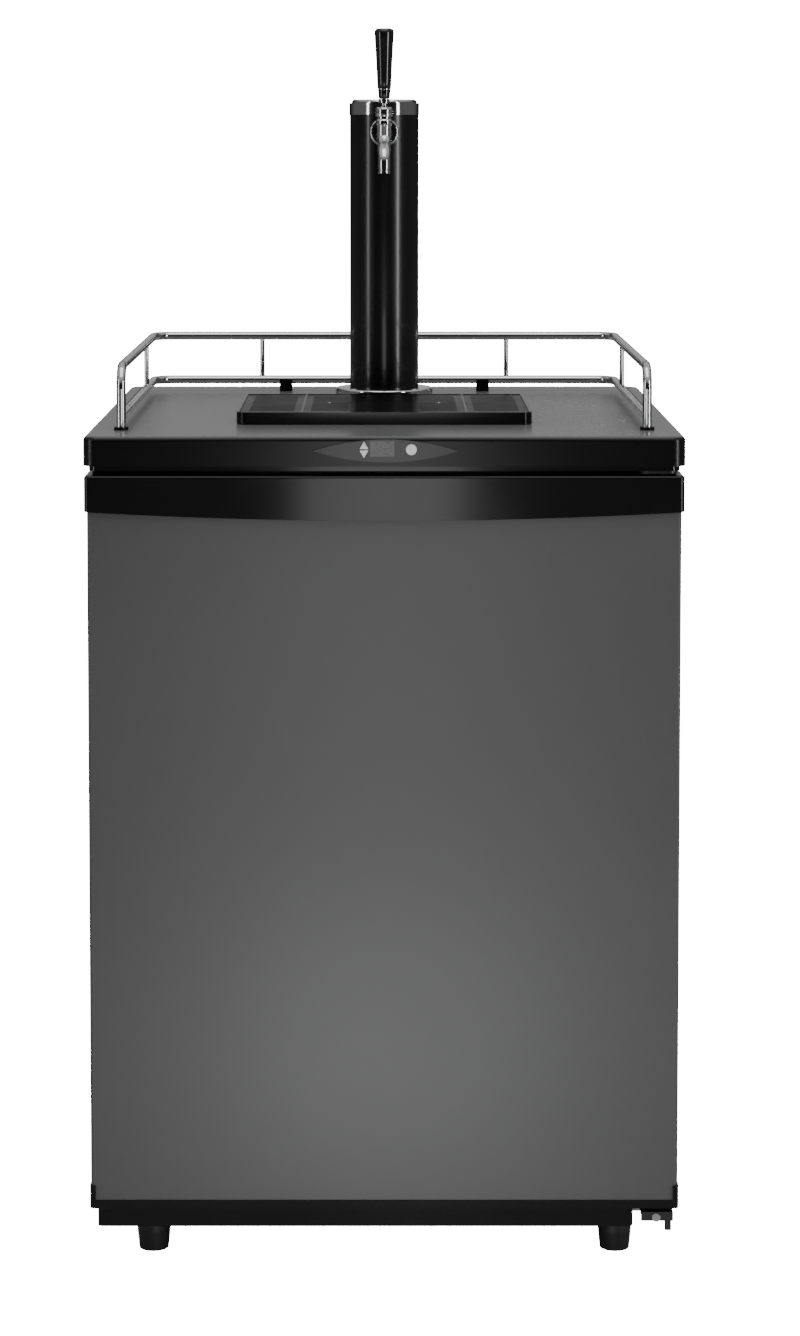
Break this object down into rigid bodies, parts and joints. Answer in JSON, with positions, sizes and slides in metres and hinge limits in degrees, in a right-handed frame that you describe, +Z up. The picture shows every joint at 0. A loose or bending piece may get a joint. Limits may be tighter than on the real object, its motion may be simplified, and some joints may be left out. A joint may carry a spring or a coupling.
{
  "type": "draught beer cooler",
  "caption": "Free-standing draught beer cooler: insulated cabinet with one door, chrome guard rail, drip tray and a single-tap tower with a tapered handle.",
  "frame": {"origin": "middle of the footprint, on the floor", "axes": "+Z up, the door faces -Y, +X is to the right of a person facing the door"},
  "size_m": [0.59, 0.61, 1.2421],
  "materials": {
    "door_paint": "satin",
    "cabinet_paint": "satin",
    "black_gloss": "gloss",
    "black_satin": "satin",
    "black_matte": "matte",
    "column_paint": "gloss",
    "chrome": "polished",
    "grip": "gloss",
    "steel": "satin",
    "bracket_paint": "satin",
    "foam": "matte",
    "liner": "gloss",
    "rubber": "matte",
    "foot_plastic": "satin",
    "bush": "satin",
    "key_white": "gloss",
    "display": "gloss",
    "board": "satin",
    "machine_black": "satin",
    "copper": "satin",
    "aluminium": "satin"
  },
  "bodies": {
    "cabinet": {"cabinet_shell": "cabinet_paint", "kick_plate": "black_gloss", "control_bezel": "black_gloss", "frame_underplate": "black_gloss", "worktop": "black_satin", "rail_saddles": "black_matte", "fan_motor": "black_matte", "condenser_clips": "black_matte", "shank_collar": "black_matte", "tower_column": "column_paint", "rail_upper_tube": "chrome", "rail_lower_tube": "chrome", "rail_posts": "chrome", "tower_flange": "chrome", "tower_cap": "chrome", "coupling_nut": "chrome", "faucet_body": "chrome", "faucet_bonnet": "chrome", "shank": "chrome", "shank_nut": "chrome", "back_panel": "steel", "base_frame": "steel", "keg_floor_plate": "steel", "screws": "steel", "tail_elbow": "steel", "upper_hinge_bracket": "bracket_paint", "lower_hinge_bracket": "bracket_paint", "insulation": "foam", "inner_liner": "liner", "evaporator_cover": "liner", "tower_gasket": "rubber", "compressor_mounts": "rubber", "gas_line_grommet": "rubber", "cord_gland": "rubber", "display_window": "display", "control_board": "board", "compressor": "machine_black", "condenser": "machine_black", "refrigerant_lines": "copper", "evaporator": "aluminium"},
    "door": {"door_skin": "door_paint", "door_foam": "foam", "door_liner": "liner", "door_top_trim": "black_gloss", "door_bottom_trim": "black_gloss", "door_gasket": "rubber", "hinge_bushes": "bush"},
    "tap_lever": {"faucet_lever": "chrome", "tap_handle": "grip"},
    "plunger": {"faucet_plunger": "steel"},
    "up_key": {"up_button": "key_white"},
    "down_key": {"down_button": "key_white"},
    "power_key": {"power_button": "key_white"},
    "tray": {"drip_tray": "black_gloss"},
    "grille": {"drip_grille": "black_matte"},
    "fan": {"fan_blade": "black_matte"},
    "front_left_foot": {"foot_front_left": "foot_plastic"},
    "front_right_foot": {"foot_front_right": "foot_plastic"},
    "rear_left_foot": {"foot_rear_left": "foot_plastic"},
    "rear_right_foot": {"foot_rear_right": "foot_plastic"}
  },
  "joints": [
    {"name": "door_hinge", "type": "hinge", "parent": "cabinet", "child": "door", "pos_m": [0.276, -0.283, 0.43], "axis": [0, 0, 1], "range_deg": [0, 115]},
    {"name": "tap_lever_pivot", "type": "hinge", "parent": "cabinet", "child": "tap_lever", "pos_m": [0, 0.05, 1.154], "axis": [1, 0, 0], "range_deg": [0, 25]},
    {"name": "plunger_slide", "type": "slide", "parent": "cabinet", "child": "plunger", "axis": [0, 1, 0], "range_m": [0, 0.0039]},
    {"name": "up_key_press", "type": "slide", "parent": "cabinet", "child": "up_key", "axis": [0, 1, 0], "range_m": [0, 0.0015], "stiffness_N_per_m": 400},
    {"name": "down_key_press", "type": "slide", "parent": "cabinet", "child": "down_key", "axis": [0, 1, 0], "range_m": [0, 0.0015], "stiffness_N_per_m": 400},
    {"name": "power_key_press", "type": "slide", "parent": "cabinet", "child": "power_key", "axis": [0, 1, 0], "range_m": [0, 0.0015], "stiffness_N_per_m": 400},
    {"name": "tray_lift", "type": "slide", "parent": "cabinet", "child": "tray", "axis": [0, 0, 1], "range_m": [0, 0.05]},
    {"name": "grille_lift", "type": "slide", "parent": "tray", "child": "grille", "axis": [0, 0, 1], "range_m": [0, 0.03]},
    {"name": "fan_spin", "type": "hinge", "parent": "cabinet", "child": "fan", "pos_m": [0, 0.212, 0.56], "axis": [0, 1, 0], "continuous": true},
    {"name": "front_left_foot_turn", "type": "hinge", "parent": "cabinet", "child": "front_left_foot", "pos_m": [-0.234, -0.225, 0.03], "axis": [0, 0, 1], "continuous": true},
    {"name": "front_right_foot_turn", "type": "hinge", "parent": "cabinet", "child": "front_right_foot", "pos_m": [0.234, -0.225, 0.03], "axis": [0, 0, 1], "continuous": true},
    {"name": "rear_left_foot_turn", "type": "hinge", "parent": "cabinet", "child": "rear_left_foot", "pos_m": [-0.234, 0.2, 0.03], "axis": [0, 0, 1], "continuous": true},
    {"name": "rear_right_foot_turn", "type": "hinge", "parent": "cabinet", "child": "rear_right_foot", "pos_m": [0.234, 0.2, 0.03], "axis": [0, 0, 1], "continuous": true}
  ],
  "couplings": [
    {"joint": "plunger_slide", "follows": "tap_lever_pivot", "m_per_rad": 0.0087}
  ]
}
